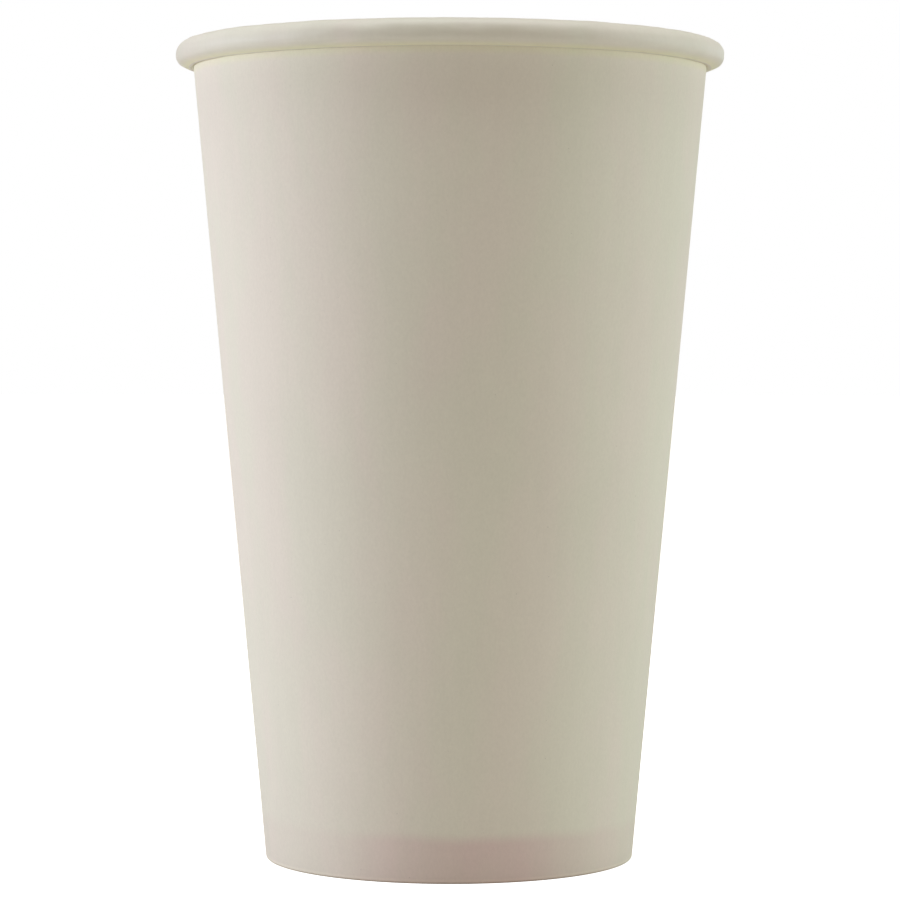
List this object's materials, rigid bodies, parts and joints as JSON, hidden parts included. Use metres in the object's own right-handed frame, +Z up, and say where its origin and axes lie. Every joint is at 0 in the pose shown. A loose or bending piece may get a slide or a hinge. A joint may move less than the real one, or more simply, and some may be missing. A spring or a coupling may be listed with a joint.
{
  "type": "paper coffee cup",
  "caption": "Tall tapered paper cup with an outward rolled rim, a lapped side seam, and a flat floor raised above a folded hem.",
  "frame": {"origin": "centre of the standing ring, on the surface that the cup stands on", "axes": "+Z up along the cup's axis towards the open rim, +Y towards the side seam at the back, -Y towards the viewer of the picture"},
  "size_m": [0.09, 0.09, 0.134],
  "materials": {
    "side_board": "uncoated off-white board outside, thin plastic coating inside",
    "base_board": "off-white board with a thin plastic coating on top"
  },
  "bodies": {
    "root": {"side_wall": "side_board", "base_disc": "base_board"}
  },
  "joints": []
}
